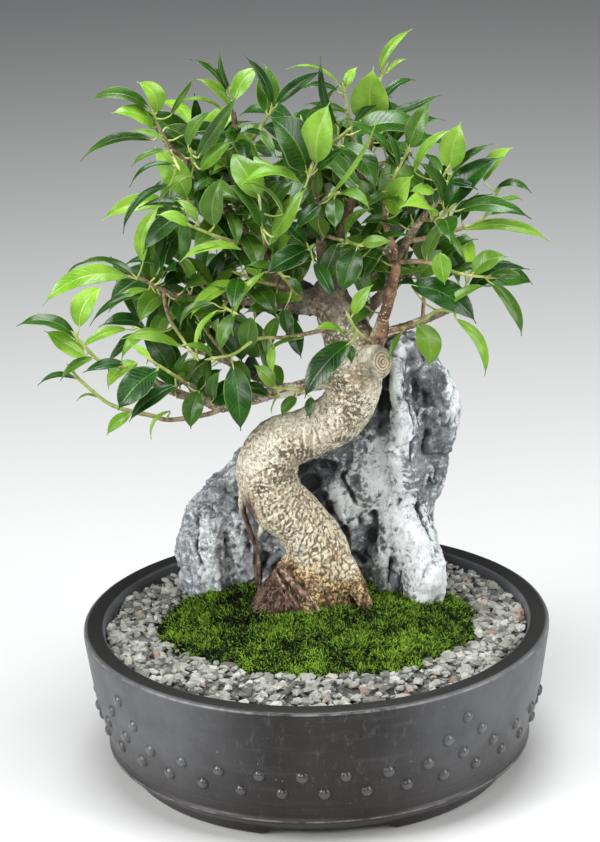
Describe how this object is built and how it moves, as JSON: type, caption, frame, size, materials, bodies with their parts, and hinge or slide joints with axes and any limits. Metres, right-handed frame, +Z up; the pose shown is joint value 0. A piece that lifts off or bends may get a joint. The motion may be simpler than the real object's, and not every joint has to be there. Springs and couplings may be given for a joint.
{
  "type": "chinese banyan bonsai",
  "caption": "Banyan bonsai with a thick bent trunk grown over a pale limestone rock and glossy leaf sprays, in a round dark clay pot with rows of raised studs.",
  "frame": {"origin": "on the surface the pot stands on, under the middle of the whole bonsai's box", "axes": "+Z up along the tree; -Y is the front that the picture shows and +X is its right"},
  "size_m": [0.395, 0.36, 0.5667],
  "materials": {
    "pot": "satin",
    "soil": "matte",
    "gravel": "matte",
    "moss": "matte",
    "rock": "matte",
    "bark": "matte",
    "leaf": "satin"
  },
  "bodies": {
    "root": {"pot": "pot", "soil": "soil", "gravel": "gravel", "moss": "moss", "rock": "rock", "trunk": "bark", "spray_low_left_twig": "leaf", "spray_left_tip": "leaf", "spray_left_front": "leaf", "spray_left_middle": "leaf", "spray_left_high": "leaf", "spray_hanging_left": "leaf", "spray_low_middle_twig": "leaf", "spray_under_branch": "leaf", "spray_centre_low": "leaf", "spray_centre_dark": "leaf", "spray_centre_right": "leaf", "spray_knuckle_twig": "leaf", "spray_crown_left_tip": "leaf", "spray_crown_left": "leaf", "spray_crown_left_upright": "leaf", "spray_top_left_tip": "leaf", "spray_top_middle_left": "leaf", "spray_leader_tip": "leaf", "spray_leader_side": "leaf", "spray_top_centre": "leaf", "spray_top_tip": "leaf", "spray_right_upright": "leaf", "spray_right_top": "leaf", "spray_right_twig": "leaf", "spray_right_low_twig": "leaf", "spray_right_middle": "leaf", "spray_upper_left_heart": "leaf", "spray_left_shoot": "leaf", "spray_back_left_tip": "leaf", "spray_back_left_rise": "leaf", "spray_back_tip": "leaf", "spray_back_rise": "leaf", "spray_back_right_tip": "leaf", "spray_back_right_rise": "leaf", "spray_low_back_left_tip": "leaf", "spray_low_back_left_rise": "leaf", "spray_low_back_right_tip": "leaf", "spray_low_back_right_rise": "leaf", "spray_crown_back": "leaf", "spray_crown_left_back": "leaf", "spray_left_back": "leaf", "spray_crown_right_back": "leaf", "spray_low_back": "leaf", "spray_heart_low": "leaf", "spray_heart_left": "leaf", "spray_heart_right": "leaf", "spray_crown_left_front": "leaf", "spray_crown_right_front": "leaf", "spray_crown_middle": "leaf"}
  },
  "joints": []
}
